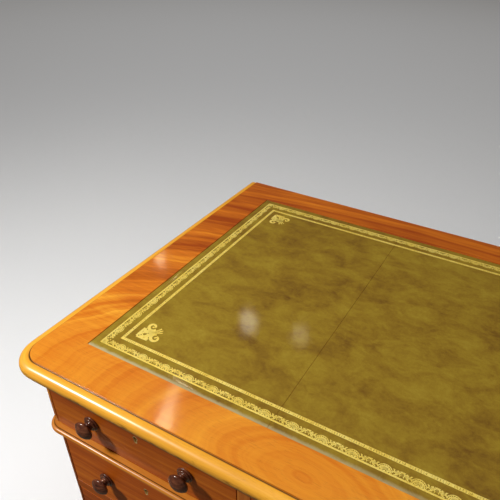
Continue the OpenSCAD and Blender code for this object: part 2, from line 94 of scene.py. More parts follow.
def make_camera():
    """The camera, from its heading left of +Y, its angle down and its tilt."""
    ahead = Vector((-math.sin(HEADING) * math.cos(LOOK_DOWN),
                    math.cos(HEADING) * math.cos(LOOK_DOWN), -math.sin(LOOK_DOWN)))
    level = Vector((math.cos(HEADING), math.sin(HEADING), 0))
    down = ahead.cross(level)
    right = math.cos(TILT) * level + math.sin(TILT) * down
    up = math.sin(TILT) * level - math.cos(TILT) * down
    data = bpy.data.cameras.new("camera")
    data.lens = LENS
    data.sensor_width = 36
    data.shift_x, data.shift_y = SHIFT
    data.clip_start = 0.01
    camera = bpy.data.objects.new("camera", data)
    bpy.context.scene.collection.objects.link(camera)
    turn = Matrix((right, up, -ahead)).transposed().to_4x4()
    camera.matrix_world = Matrix.Translation(CAMERA_AT) @ turn
    bpy.context.scene.camera = camera


def area_light(name, at, towards, size, watts, colour=(1, 1, 1), only=None):
    """A rectangular lamp. With only, it lights just the things in that collection."""
    data = bpy.data.lights.new(name, "AREA")
    data.shape = "RECTANGLE"
    data.size, data.size_y = size
    data.energy = watts
    data.color = colour
    light = bpy.data.objects.new(name, data)
    bpy.context.scene.collection.objects.link(light)
    light.location = at
    light.rotation_euler = (Vector(towards) - Vector(at)).to_track_quat("-Z", "Y").to_euler()
    if only:
        light.light_linking.receiver_collection = only
    return light


def make_floor():
    """A wide, plain, pale floor. Returns a collection that holds just it."""
    bm = bmesh.new()
    bmesh.ops.create_circle(bm, cap_ends=True, radius=16, segments=96)
    mesh = bpy.data.meshes.new("floor")
    bm.to_mesh(mesh)
    bm.free()
    floor = bpy.data.objects.new("floor", mesh)
    bpy.context.scene.collection.objects.link(floor)
    material = bpy.data.materials.new("floor")
    material.use_nodes = True
    shader = material.node_tree.nodes["Principled BSDF"]
    shader.inputs["Base Color"].default_value = (0.765, 0.795, 0.84, 1)
    shader.inputs["Roughness"].default_value = 0.9
    mesh.materials.append(material)
    floor.visible_glossy = False
    floor.visible_diffuse = False
    alone = bpy.data.collections.new("floor_only")
    alone.objects.link(floor)
    return alone


def make_studio():
    """A pale floor and backdrop, warm soft light, a key from the front left that falls off
    across the desk, and small lamps behind whose reflections lie on the polish and the
    leather."""
    scene = bpy.context.scene
    scene.view_settings.view_transform = "Standard"
    world = bpy.data.worlds.new("studio")
    scene.world = world
    world.use_nodes = True
    tree = world.node_tree
    sky = tree.nodes["Background"]
    sky.inputs["Color"].default_value = (1.0, 0.82, 0.60, 1)
    sky.inputs["Strength"].default_value = 0.11
    backdrop = tree.nodes.new("ShaderNodeBackground")
    backdrop.inputs["Color"].default_value = (0.97, 0.98, 1.0, 1)
    backdrop.inputs["Strength"].default_value = 0.33
    seen = tree.nodes.new("ShaderNodeLightPath")
    choice = tree.nodes.new("ShaderNodeMixShader")
    tree.links.new(seen.outputs["Is Camera Ray"], choice.inputs[0])
    tree.links.new(sky.outputs[0], choice.inputs[1])
    tree.links.new(backdrop.outputs[0], choice.inputs[2])
    tree.links.new(choice.outputs[0], tree.nodes["World Output"].inputs["Surface"])

    floor = make_floor()
    area_light("floor_near", (-1.0, -0.45, 2.4), (-1.0, -0.45, 0), (1.0, 1.0), 5.4, only=floor)
    area_light("floor_far", (-3.5, 4.5, 9), (-3.5, 4.5, 0), (9, 9), 330, only=floor)

    corner = Vector((-0.50, -0.30, 0.70))
    travel = Vector((0.58, 0.41, -0.71)).normalized()
    area_light("key", corner - 2.1 * travel, corner, (0.20, 0.20), 50, (1.0, 0.96, 0.90))
    area_light("overhead", (-0.1, -0.15, 2.9), (-0.1, -0.1, 0.7), (1.6, 1.0), 15)
    lamps = {"lamp_a": (-1.38, 1.51, 0.22), "lamp_b": (-1.05, 1.56, 0.12),
             "lamp_c": (-2.28, 1.77, 0.30), "lamp_d": (-1.434, 0.873, 0.16),
             "lamp_e": (-1.397, 0.775, 0.22), "lamp_f": (-1.365, 0.702, 0.32),
             "lamp_g": (-1.332, 0.628, 0.42)}
    for name, (x, y, watts) in lamps.items():
        colour = (1.0, 0.97, 0.92) if name == "lamp_a" else (1.0, 0.88, 0.58)
        area_light(name, (x, y, LAMP_Z), LAMP_AIM, (0.06, 0.06), watts, colour)


# ---- Materials ----
class Nodes:
    """Short names for the shader nodes used below."""

    def __init__(self, name):
        self.material = bpy.data.materials.new(name)
        self.material.use_nodes = True
        self.tree = self.material.node_tree
        self.shader = self.tree.nodes["Principled BSDF"]

    def node(self, kind, **values):
        n = self.tree.nodes.new("ShaderNode" + kind)
        for key, value in values.items():
            setattr(n, key, value)
        return n

    def link(self, value, socket):
        if isinstance(value, bpy.types.NodeSocket):
            self.tree.links.new(value, socket)
        else:
            socket.default_value = value

    def position(self):
        return self.node("TexCoord").outputs["Object"]

    def attribute(self, name):
        return self.node("Attribute", attribute_name=name).outputs["Vector"]

    def value(self, name):
        return self.node("Attribute", attribute_name=name).outputs["Fac"]

    def mapped(self, vector, scale=(1, 1, 1), turn=(0, 0, 0), move=(0, 0, 0)):
        n = self.node("Mapping")
        self.link(vector, n.inputs["Vector"])
        n.inputs["Scale"].default_value = scale
        n.inputs["Rotation"].default_value = turn
        n.inputs["Location"].default_value = move
        return n.outputs["Vector"]

    def noise(self, vector, scale=1.0, detail=2.0, rough=0.5, bend=0.0, colour=False):
        n = self.node("TexNoise")
        self.link(vector, n.inputs["Vector"])
        n.inputs["Scale"].default_value = scale
        n.inputs["Detail"].default_value = detail
        n.inputs["Roughness"].default_value = rough
        n.inputs["Distortion"].default_value = bend
        return n.outputs["Color" if colour else "Fac"]

    def noise1(self, value, detail=2.0, rough=0.5):
        n = self.node("TexNoise", noise_dimensions="1D")
        self.link(value, n.inputs["W"])
        n.inputs["Scale"].default_value = 1
        n.inputs["Detail"].default_value = detail
        n.inputs["Roughness"].default_value = rough
        return n.outputs["Fac"]

    def cells(self, vector, scale=1.0, feature="F1"):
        n = self.node("TexVoronoi", feature=feature)
        self.link(vector, n.inputs["Vector"])
        n.inputs["Scale"].default_value = scale
        return n.outputs["Distance"]

    def maths(self, operation, a, b=0.0, c=0.0):
        n = self.node("Math", operation=operation)
        self.link(a, n.inputs[0])
        self.link(b, n.inputs[1])
        self.link(c, n.inputs[2])
        return n.outputs[0]

    def vector(self, operation, a, b=(0, 0, 0)):
        n = self.node("VectorMath", operation=operation)
        self.link(a, n.inputs[0])
        self.link(b, n.inputs[1])
        return n.outputs["Vector"]

    def length(self, a):
        n = self.node("VectorMath", operation="LENGTH")
        self.link(a, n.inputs[0])
        return n.outputs["Value"]

    def component(self, vector, axis):
        n = self.node("SeparateXYZ")
        self.link(vector, n.inputs[0])
        return n.outputs[axis]

    def levels(self, value, low, high, to_low=0.0, to_high=1.0):
        n = self.node("MapRange", clamp=True)
        self.link(value, n.inputs["Value"])
        n.inputs["From Min"].default_value = low
        n.inputs["From Max"].default_value = high
        n.inputs["To Min"].default_value = to_low
        n.inputs["To Max"].default_value = to_high
        return n.outputs["Result"]

    def ramp(self, value, stops):
        n = self.node("ValToRGB")
        self.link(value, n.inputs["Fac"])
        elements = n.color_ramp.elements
        while len(elements) < len(stops):
            elements.new(0.5)
        for element, (place, colour) in zip(elements, stops):
            element.position = place
            element.color = (*colour, 1)
        return n.outputs["Color"]

    def mix(self, share, a, b):
        n = self.node("Mix", data_type="RGBA")
        self.link(share, n.inputs[0])
        self.link(a if isinstance(a, bpy.types.NodeSocket) else (*a, 1), n.inputs[6])
        self.link(b if isinstance(b, bpy.types.NodeSocket) else (*b, 1), n.inputs[7])
        return n.outputs[2]

    def bump(self, height, distance, strength=1.0, under=None):
        n = self.node("Bump")
        self.link(height, n.inputs["Height"])
        n.inputs["Distance"].default_value = distance
        n.inputs["Strength"].default_value = strength
        if under is not None:
            self.link(under, n.inputs["Normal"])
        return n.outputs["Normal"]

    def surface(self, **values):
        for key, value in values.items():
            self.link(value, self.shader.inputs[key.replace("_", " ")])
        return self.material


def tone(colour, gain):
    """A colour made lighter or darker."""
    return tuple(min(1.0, c * gain) for c in colour)


# Turns that bring the fibres' axis onto X
TURNS = {"x": (0, 0, 0), "y": (0, 0, -math.pi / 2), "z": (0, math.pi / 2, 0)}

# Dark, middle and light tone of each wood
CASE_TONES = ((0.22, 0.045, 0.006), (0.50, 0.140, 0.016), (0.74, 0.290, 0.040))
TOP_TONES = ((0.32, 0.050, 0.003), (0.64, 0.175, 0.010), (0.88, 0.400, 0.034))
FRONT_TONES = ((0.20, 0.033, 0.003), (0.42, 0.088, 0.006), (0.64, 0.185, 0.014))
WAIST_TONES = ((0.32, 0.090, 0.008), (0.56, 0.195, 0.020), (0.72, 0.310, 0.050))
NOSING_TONES = ((0.50, 0.190, 0.014), (0.84, 0.400, 0.035), (1.00, 0.610, 0.090))
INNER_TONES = ((0.16, 0.085, 0.040), (0.36, 0.215, 0.110), (0.52, 0.350, 0.200))
# Painted light: the pedestals' drawer fronts are made lighter, to make up for the light that
# the waist moulding keeps off them.
PEDESTAL_PAINTED_LIGHT = 1.3         # how much lighter the pedestals' drawer fronts are


def wood(name, grain, tones, seed, pith=(0.35, 0.06), tilt=2.0, figure=1.0, polish=True,
         along_piece=False, deepen=None, gloss=(0.40, 0.09), quirk_shade=0.9, low_darkening=0.82):
    """Flat-sawn wood whose fibres run along one axis. Its growth layers lie round a pith
    at (across, down) from the origin, tilted by some degrees, so that they draw arches
    where the board grazes them and streaks elsewhere. deepen is a pair of places in y
    between which the colour grows redder and the figure bolder. gloss is the weight and
    the roughness of the clear polish; the last two arguments set how dark the painted
    shade in the quirks is, and how much darker and mottled the low parts are made."""
    n = Nodes(name)
    dark, middle, light = tones
    start = n.attribute("run") if along_piece else n.position()
    place = n.mapped(start, turn=TURNS[grain])
    wander = n.noise(n.mapped(place, scale=(5, 16, 16), move=(seed, seed, 0)), 1.0, 3, 0.55,
                     colour=True)
    wander = n.vector("MULTIPLY", n.vector("SUBTRACT", wander, (0.5, 0.5, 0.5)),
                      (0, 0.022, 0.022))
    bent = n.vector("ADD", place, wander)
    about = n.mapped(bent, turn=(0, math.radians(tilt), 0), move=(0, pith[0], pith[1]))
    radius = n.length(n.vector("MULTIPLY", about, (0, 1, 1)))
    growth = n.noise1(n.maths("MULTIPLY_ADD", radius, 95, seed), 3, 0.62)
    zones = n.noise1(n.maths("MULTIPLY_ADD", radius, 21, seed * 2), 2, 0.5)
    blotch = n.noise(n.mapped(place, scale=(3.5, 9, 9), move=(seed, 0, seed)), 1.0, 4, 0.55)
    fibre = n.noise(n.mapped(bent, scale=(9, 260, 260), move=(seed, 0, 0)), 1.0, 4, 0.62)
    pores = n.noise(n.mapped(bent, scale=(42, 1500, 1500)), 1.0, 2, 0.6)
    pores = n.levels(pores, 0.60, 0.70)
    share = n.maths("MULTIPLY_ADD", growth, 0.62 * figure, 0.5 - 0.31 * figure)
    share = n.maths("MULTIPLY_ADD", n.maths("SUBTRACT", zones, 0.5), 0.75 * figure, share)
    share = n.maths("MULTIPLY_ADD", n.maths("SUBTRACT", blotch, 0.5), 0.55, share)
    share = n.maths("MULTIPLY_ADD", n.maths("SUBTRACT", fibre, 0.5), 0.30, share)
    if deepen:
        across = n.component(start, "Y")
        bold = n.levels(across, deepen[0], deepen[0] + 0.08, 0.45, 1.0)
        share = n.maths("MULTIPLY_ADD", n.maths("SUBTRACT", share, 0.5), bold, 0.5)
        share = n.maths("ADD", share, n.levels(across, *deepen, 0.10, -0.20))
    colour = n.ramp(share, [(0.18, dark), (0.50, middle), (0.78, light)])
    colour = n.mix(n.maths("MULTIPLY", pores, 0.30), colour, tone(dark, 0.6))
    height = n.maths("MULTIPLY_ADD", pores, -1.0, n.maths("MULTIPLY", fibre, 0.25))
    if not polish:
        return n.surface(Base_Color=colour, Roughness=n.levels(fibre, 0.2, 0.8, 0.55, 0.75),
                         Normal=n.bump(height, 0.00015, 0.8), Specular_IOR_Level=0.3)
    # Darker and mottled towards the bottom of a moulding.
    if along_piece:
        low_mottle = n.noise(n.mapped(start, scale=(30, 110, 110)), 1.0, 5, 0.65)
        low = n.maths("MULTIPLY_ADD", low_mottle, 1.4, n.value("down"))
        low_dark_and_quirk_shade = n.levels(low, 1.10, 1.34, 0.0, low_darkening)
        # Painted shade: the quirk between the field or ledge and the nose is darkened.
        low_dark_and_quirk_shade = n.maths("MAXIMUM", low_dark_and_quirk_shade, n.maths("MULTIPLY", n.value("quirk_shade"), quirk_shade))
        colour = n.mix(low_dark_and_quirk_shade, colour, (0.060, 0.020, 0.009))
    weight, roughness = gloss
    if along_piece:
        weight = n.levels(n.value("down"), 0.025, 0.042, 0.1, weight)
    ripple = n.noise(n.mapped(place, scale=(16, 26, 26)), 1.0, 2, 0.5)
    smears = n.noise(n.mapped(place, scale=(5, 14, 14)), 1.0, 4, 0.6)
    under = n.bump(ripple, 0.0007, 0.55)
    return n.surface(Base_Color=colour,
                     Roughness=n.levels(smears, 0.30, 0.75, 0.30, 0.46),
                     Normal=n.bump(height, 0.00008, 0.5, under), Specular_IOR_Level=0.22,
                     Coat_Weight=weight, Coat_Roughness=roughness, Coat_IOR=1.45,
                     Coat_Normal=n.bump(ripple, 0.0006, 0.35))


def leather_material():
    """Glazed olive hide: cloudy brown and green dye, fine pebbled grain, patchy gloss,
    and a painted pale sheen in patches along its front edge, stronger to the left.
    """
    n = Nodes("olive_leather")
    place = n.position()
    broad = n.noise(n.mapped(place, scale=(1, 1.3, 1)), 3.2, 2, 0.5)
    cloud = n.noise(n.mapped(place, scale=(1, 1.5, 1)), 17, 6, 0.62, 0.5)
    wisp = n.noise(n.mapped(place, scale=(1, 1.4, 1)), 62, 5, 0.7, 0.7)
    spots = n.noise(place, 230, 3, 0.7)
    share = n.maths("MULTIPLY_ADD", n.maths("SUBTRACT", cloud, 0.5), 0.85, 0.5)
    share = n.maths("MULTIPLY_ADD", n.maths("SUBTRACT", wisp, 0.5), 0.40, share)
    share = n.maths("MULTIPLY_ADD", n.maths("SUBTRACT", spots, 0.5), 0.22, share)
    share = n.maths("MULTIPLY_ADD", n.maths("SUBTRACT", broad, 0.5), 0.45, share)
    colour = n.ramp(share, [(0.24, (0.140, 0.068, 0.009)), (0.44, (0.235, 0.140, 0.013)),
                            (0.58, (0.285, 0.188, 0.017)), (0.80, (0.350, 0.255, 0.028))])
    # Painted reflection: a pale sheen, in patches, on the pressed-down front edge, fading
    # towards the right.
    pale = n.maths("MULTIPLY_ADD", wisp, 0.6, n.value("edge"))
    pale = n.levels(pale, 0.62, 1.0, 0, 0.85)
    pale = n.maths("MULTIPLY", pale, n.levels(n.component(place, "X"), -0.5, 0.0, 1, 0.35))
    colour = n.mix(pale, colour, (0.46, 0.41, 0.24))
    pebble = n.cells(place, 620)
    crease = n.noise(place, 260, 3, 0.6)
    height = n.maths("MULTIPLY_ADD", crease, 0.8, pebble)
    under = n.bump(n.noise(place, 24, 3, 0.5), 0.0004, 0.30)
    return n.surface(Base_Color=colour, Roughness=n.levels(wisp, 0.3, 0.7, 0.40, 0.56),
                     Normal=n.bump(height, 0.00022, 0.5, under), Specular_IOR_Level=0.12,
                     Coat_Weight=0.5, Coat_Roughness=0.06,
                     Coat_Normal=n.bump(height, 0.00004, 0.5, under))


def gilt_material():
    """Gold leaf with thin and rubbed spots."""
    n = Nodes("gold_leaf")
    place = n.position()
    thin = n.noise(place, 420, 4, 0.7)
    broad = n.noise(place, 30, 3, 0.5)
    colour = n.ramp(n.maths("MULTIPLY_ADD", broad, 0.4, n.maths("MULTIPLY", thin, 0.6)),
                    [(0.32, (0.68, 0.45, 0.05)), (0.46, (0.95, 0.72, 0.13)),
                     (0.70, (1.0, 0.88, 0.30))])
    return n.surface(Base_Color=colour, Metallic=0.30,
                     Roughness=n.levels(thin, 0.3, 0.7, 0.30, 0.50),
                     Normal=n.bump(thin, 0.00005, 0.6))


def knob_material():
    """Dark turned rosewood with faint streaks across the turning, well polished."""
    n = Nodes("dark_turned_wood")
    place = n.position()
    streak = n.noise(n.mapped(place, scale=(90, 22, 340)), 1.0, 4, 0.6, 0.4)
    broad = n.noise(place, 60, 3, 0.6)
    share = n.maths("MULTIPLY_ADD", broad, 0.4, n.maths("MULTIPLY", streak, 0.6))
    colour = n.ramp(share, [(0.36, (0.035, 0.009, 0.006)), (0.50, (0.120, 0.034, 0.017)),
                            (0.66, (0.250, 0.088, 0.040))])
    return n.surface(Base_Color=colour, Roughness=n.levels(broad, 0.3, 0.7, 0.20, 0.34),
                     Normal=n.bump(streak, 0.00008, 0.5), Specular_IOR_Level=0.3,
                     Coat_Weight=0.8, Coat_Roughness=0.06)


def metal_material(name, dull, bright, roughness, metallic=1.0):
    """Cast or drawn metal, darker where it is tarnished, with fine scratches."""
    n = Nodes(name)
    place = n.position()
    tarnish = n.noise(place, 150, 4, 0.6, 0.3)
    scratch = n.noise(n.mapped(place, scale=(2600, 140, 300)), 1.0, 2, 0.6)
    colour = n.ramp(tarnish, [(0.34, dull), (0.62, bright)])
    low, high = roughness
    return n.surface(Base_Color=colour, Metallic=metallic,
                     Roughness=n.levels(tarnish, 0.3, 0.7, high, low),
                     Normal=n.bump(scratch, 0.00004, 0.5))


# ---- Mesh helpers ----
def new_piece(name, bm, body, material, smooth_below=32, bevel=0.0):
    """Turns a bmesh into a piece that rides on a body, shaded smooth below an angle."""
    bmesh.ops.recalc_face_normals(bm, faces=bm.faces)
    limit = math.radians(smooth_below)
    for edge in bm.edges:
        edge.smooth = len(edge.link_faces) == 2 and edge.calc_face_angle(0) < limit
    for face in bm.faces:
        face.smooth = True
    mesh = bpy.data.meshes.new(name)
    bm.to_mesh(mesh)
    bm.free()
    piece = bpy.data.objects.new(name, mesh)
    bpy.context.scene.collection.objects.link(piece)
    mesh.materials.append(material)
    if bevel:
        round_edges(piece, bevel)
    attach(piece, body)
    return piece


def round_edges(obj, width, segments=2, angle=35):
    """Softens every edge sharper than an angle, as sanding and wear do."""
    modifier = obj.modifiers.new("soft_edges", "BEVEL")
    modifier.width = width
    modifier.segments = segments
    modifier.limit_method = "ANGLE"
    modifier.angle_limit = math.radians(angle)
    modifier.harden_normals = True
    modifier.use_clamp_overlap = True


def loose_parts(node):
    """The separate solids of a CAD node, each as a bmesh with its flat faces whole, in the
    order of their first vertices, so that their numbers are the same at every run."""
    whole = bmesh.new()
    whole.from_mesh(frame["nodes"][node].data)
    bmesh.ops.remove_doubles(whole, verts=whole.verts, dist=2e-6)
    whole.verts.index_update()
    left = set(whole.verts)
    groups = []
    for start in whole.verts:
        if start not in left:
            continue
        left.discard(start)
        seen = {start}
        front = [start]
        while front:
            vert = front.pop()
            for edge in vert.link_edges:
                other = edge.other_vert(vert)
                if other in left:
                    left.discard(other)
                    seen.add(other)
                    front.append(other)
        groups.append(seen)
    parts = []
    for group in groups:
        part = bmesh.new()
        copy = {v: part.verts.new(v.co) for v in sorted(group, key=lambda v: v.index)}
        for face in whole.faces:
            if face.verts[0] in group:
                part.faces.new([copy[v] for v in face.verts])
        bmesh.ops.dissolve_limit(part, angle_limit=math.radians(0.5), verts=part.verts,
                                 edges=part.edges)
        parts.append(part)
    whole.free()
    return parts


def extent(bm):
    """Lowest and highest corner of a bmesh."""
    low = Vector([min(v.co[i] for v in bm.verts) for i in range(3)])
    high = Vector([max(v.co[i] for v in bm.verts) for i in range(3)])
    return low, high


def arc(x, y, r, start, end, steps):
    """Points on an arc, with its angles in degrees."""
    points = []
    for i in range(steps + 1):
        a = math.radians(start + (end - start) * i / steps)
        points.append((x + r * math.cos(a), y + r * math.sin(a)))
    return points


def lathe(profile, axis_at, steps=40):
    """A bmesh turned from (radius, height) points about an axis that points to -Y."""
    bm = bmesh.new()
    rings = []
    for radius, height in profile:
        y = axis_at.y - height
        if radius < 1e-7:
            rings.append([bm.verts.new((axis_at.x, y, axis_at.z))])
            continue
        ring = []
        for i in range(steps):
            a = 2 * math.pi * i / steps
            ring.append(bm.verts.new((axis_at.x + radius * math.cos(a), y,
                                      axis_at.z + radius * math.sin(a))))
        rings.append(ring)
    for one, two in zip(rings, rings[1:]):
        for i in range(steps):
            j = (i + 1) % steps
            corners = [one[i % len(one)], one[j % len(one)], two[j % len(two)],
                       two[i % len(two)]]
            face = list(dict.fromkeys(corners))
            if len(face) > 2:
                bm.faces.new(face)
    return bm


def sweep(profile, stations, shaded_quirk_span=(-1, -1)):
    """A bmesh swept through stations of (place, outward, run length). The profile's points
    are (outwards, up). Stores where each point is along the run, for the wood's grain, and
    its share of the way down, for darkening towards the bottom, and whether it lies between
    the two distances of the quirk, for the quirk's painted shade."""
    bm = bmesh.new()
    run = bm.verts.layers.float_vector.new("run")
    down = bm.verts.layers.float.new("down")
    quirk_shade = bm.verts.layers.float.new("quirk_shade")
    top = max(z for u, z in profile)
    height = top - min(z for u, z in profile)
    rings = []
    for place, outward, length in stations:
        ring = []
        around = 0.0
        last = None
        for u, z in profile:
            if last:
                around += math.hypot(u - last[0], z - last[1])
            last = (u, z)
            vert = bm.verts.new((place.x + outward.x * u, place.y + outward.y * u, z))
            vert[run] = (length, around, 0.3 * u)
            vert[down] = (top - z) / height
            vert[quirk_shade] = 1.0 if shaded_quirk_span[0] <= u <= shaded_quirk_span[1] else 0.0
            ring.append(vert)
        rings.append(ring)
    count = len(profile)
    for one, two in zip(rings, rings[1:]):
        for i in range(count):
            j = (i + 1) % count
            bm.faces.new((one[i], one[j], two[j], two[i]))
    bm.faces.new(rings[0])
    bm.faces.new(list(reversed(rings[-1])))
    return bm


def straight_stations(start, end, outward, length_at, step=0.02):
    """Evenly spaced stations from start to end."""
    run = (end - start).length
    count = max(1, round(run / step))
    return [(start.lerp(end, i / count), outward, length_at + run * i / count)
            for i in range(count + 1)]


def corner_stations(centre, radius, start, end, length_at, outer, steps=14):
    """Stations round a corner, measured along its outer edge."""
    stations = []
    for i in range(steps + 1):
        a = math.radians(start + (end - start) * i / steps)
        outward = Vector((math.cos(a), math.sin(a), 0))
        along = length_at + outer * math.radians(abs(end - start)) * i / steps
        stations.append((centre + outward * radius, outward, along))
    return stations


def moulding_lengths(lo, hi, radius, out, back):
    """Stations for the left side, the front with its two round corners, and the right
    side of a moulding that runs round three sides of a plan from lo to hi."""
    left = Vector((-1, 0, 0))
    front = Vector((0, -1, 0))
    right = Vector((1, 0, 0))
    y0 = lo.y + radius
    quarter = (radius + out) * math.pi / 2
    left_side = straight_stations(Vector((lo.x, back, 0)),
                                  Vector((lo.x, y0 + GLUE_GAP, 0)), left, 0.0)
    run = corner_stations(Vector((lo.x + radius, y0, 0)), radius, 180, 270, 1.0,
                          radius + out)
    run += straight_stations(Vector((lo.x + radius, lo.y, 0)),
                             Vector((hi.x - radius, lo.y, 0)), front, 1.0 + quarter)[1:]
    run += corner_stations(Vector((hi.x - radius, y0, 0)), radius, 270, 360, run[-1][2],
                           radius + out)[1:]
    right_side = straight_stations(Vector((hi.x, y0 + GLUE_GAP, 0)),
                                   Vector((hi.x, back, 0)), right, 4.0)
    return {"left": left_side, "front": run, "right": right_side}


# ---- Top: field, nosing, leather and gilding ----
def nosing_profile():
    """Section of the nosing: quirk, half round and fillet, as the CAD model has it."""
    under = FIELD_LO.z
    fillet, quirk, quirk_deep, fillet_in = (v * MM for v in (3, 1.6, 3.2, 6))
    radius = (TOP_Z - under - NOSING_DROP - fillet) / 2
    x = NOSING_OUT - radius
    z = TOP_Z - NOSING_DROP - radius
    first = math.degrees(math.acos((quirk - x) / radius))
    points = [(0, under), (0, TOP_Z - quirk_deep), (quirk, TOP_Z - quirk_deep)]
    points += arc(x, z, radius, first, -90, 30)
    points += [(x, under + fillet), (NOSING_OUT - fillet_in, under + fillet)]
    points += [(NOSING_OUT - fillet_in, under)]
    return [p for i, p in enumerate(points) if i == 0 or p != points[i - 1]]


def make_nosing(material):
    """The nosing's front with its two round corners, and its two sides."""
    lengths = moulding_lengths(FIELD_LO, FIELD_HI, FIELD_R, NOSING_OUT, TOP_HI.y)
    for name, stations in lengths.items():
        # The quirk, 0 to 1.7 mm out, is given painted shade.
        bm = sweep(nosing_profile(), stations, (0, 1.7 * MM))
        piece = new_piece(f"nosing_{name}", bm, "carcase", material, 26)
        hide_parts("top_nosing")


LEATHER_SINK = 0.25 * MM    # below the CAD leather's top
LEATHER_EDGE = 9 * MM       # width of the pressed edge
SEAM_X = 270 * MM
SEAM_GAP = 0.6 * MM


def leather_height(x, y):
    """Height of the hide: pressed down at its edge, with small wrinkles there, and a faint
    roll everywhere."""
    lo, hi = LEATHER_LO, LEATHER_HI
    inset = min(x - lo.x, hi.x - x, y - lo.y, hi.y - y)
    edge = max(0.0, 1 - inset / LEATHER_EDGE)
    wrinkle = noise.noise(Vector((x * 110, y * 110, 0))) * 0.16
    wrinkle += noise.noise(Vector((x * 260, y * 260, 3))) * 0.08
    roll = noise.noise(Vector((x * 13, y * 13, 7))) * 0.10
    down = 0.85 * edge * edge + wrinkle * edge
    return hi.z - LEATHER_SINK + min(0.0, roll * 0.5 - 0.05) * MM - max(0.0, down) * MM


def spaced(low, high, fine, coarse, margin):
    """Grid lines from low to high: fine within a margin of both ends, coarse between."""
    lines = [low]
    while lines[-1] < high - 1e-9:
        x = lines[-1]
        near = min(x - low, high - x) < margin
        step = fine if near else min(coarse, max(fine, high - margin - x))
        lines.append(min(high, x + step))
    return lines


def make_hide(name, x0, x1, material):
    """One of the hides, a sheet with modelled edges between two seams or outer edges."""
    lo, hi = LEATHER_LO, LEATHER_HI
    xs = spaced(x0, x1, 1.6 * MM, 9 * MM, 12 * MM)
    ys = spaced(lo.y, hi.y, 1.6 * MM, 9 * MM, 12 * MM)
    bm = bmesh.new()
    edge = bm.verts.layers.float.new("edge")
    grid = []
    for x in xs:
        row = []
        for y in ys:
            vert = bm.verts.new((x, y, leather_height(x, y)))
            vert[edge] = max(0.0, 1 - (y - lo.y) / LEATHER_EDGE)
            row.append(vert)
        grid.append(row)
    for i in range(len(xs) - 1):
        for j in range(len(ys) - 1):
            bm.faces.new((grid[i][j], grid[i + 1][j], grid[i + 1][j + 1], grid[i][j + 1]))
    rim = [grid[i][0] for i in range(len(xs))] + [grid[-1][j] for j in range(1, len(ys))]
    rim += [grid[i][-1] for i in range(len(xs) - 2, -1, -1)]
    rim += [grid[0][j] for j in range(len(ys) - 2, 0, -1)]
    base = [bm.verts.new((v.co.x, v.co.y, lo.z)) for v in rim]
    for i in range(len(rim)):
        j = (i + 1) % len(rim)
        bm.faces.new((rim[i], base[i], base[j], rim[j]))
    bm.faces.new(base)
    piece = new_piece(name, bm, "carcase", material, 50)
    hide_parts("writing_leather")


def make_leather(material):
    """Three hides butted at two fine seams, on the CAD leather's place."""
    half = SEAM_GAP / 2
    make_hide("leather_hide_left", LEATHER_LO.x, -SEAM_X - half, material)
    make_hide("leather_hide_middle", half - SEAM_X, SEAM_X - half, material)
    make_hide("leather_hide_right", SEAM_X + half, LEATHER_HI.x, material)


class Stamp:
    """Flat gilt shapes drawn in millimetres on the leather: s runs along an edge and t is
    the distance in from it. weight is how much bolder each stroke comes out."""

    def __init__(self, placed):
        self.bm = bmesh.new()
        self.placed = placed
        self.weight = 2.1

    def polygon(self, points):
        verts = []
        for s, t in points:
            x, y = self.placed(s, t)
            z = leather_height(x, y) + 0.09 * MM
            verts.append(self.bm.verts.new((x, y, z)))
        low = [self.bm.verts.new(v.co - Vector((0, 0, 0.12 * MM))) for v in verts]
        self.bm.faces.new(verts)
        self.bm.faces.new(list(reversed(low)))
        for i in range(len(verts)):
            j = (i + 1) % len(verts)
            self.bm.faces.new((verts[i], low[i], low[j], verts[j]))

    def ribbon(self, points, width, tip=None):
        """A strip along points, tapering from width to tip."""
        tip = width if tip is None else tip
        one, two = [], []
        for i, (s, t) in enumerate(points):
            a = points[max(0, i - 1)]
            b = points[min(len(points) - 1, i + 1)]
            run = math.hypot(b[0] - a[0], b[1] - a[1]) or 1
            half = self.weight * (width + (tip - width) * i / (len(points) - 1)) / 2
            across = (-(b[1] - a[1]) / run * half, (b[0] - a[0]) / run * half)
            one.append((s + across[0], t + across[1]))
            two.append((s - across[0], t - across[1]))
        for i in range(len(points) - 1):
            self.polygon([one[i], one[i + 1], two[i + 1], two[i]])

    def dot(self, s, t, r, sides=8):
        self.polygon([(s + r * math.cos(2 * math.pi * i / sides),
                       t + r * math.sin(2 * math.pi * i / sides)) for i in range(sides)])

    def ring(self, s, t, r, width, sides=12):
        self.ribbon(arc(s, t, r, 0, 360, sides), width)

    def leaf(self, s, t, angle, length, width):
        """A pointed leaf from (s, t)."""
        a = math.radians(angle)
        along, across = (math.cos(a), math.sin(a)), (-math.sin(a), math.cos(a))
        width *= self.weight
        outline = [(0, 0), (0.35, 0.5), (0.7, 0.38), (1, 0), (0.7, -0.38), (0.35, -0.5)]
        self.polygon([(s + length * f * along[0] + width * g * across[0],
                       t + length * f * along[1] + width * g * across[1])
                      for f, g in outline])

    def spiral(self, s, t, r, start, turn, width, steps=14, tighten=0.25):
        """A scroll that winds in from radius r to r times tighten."""
        points = []
        for i in range(steps + 1):
            f = i / steps
            a = math.radians(start + turn * f)
            radius = r * (1 - f * (1 - tighten))
            points.append((s + radius * math.cos(a), t + radius * math.sin(a)))
        self.ribbon(points, width, width * 0.45)


# In millimetres: how far in from the leather's edge each band lies, the length of its
# repeat, and where the fleurons' middles are
WIDE_BAND = (13.0, 27.2)
NARROW_BAND = (33.8, 38.2)
REPEAT = 40.9
NARROW_REPEAT = 26.0
FLEURON_AT = 64.5


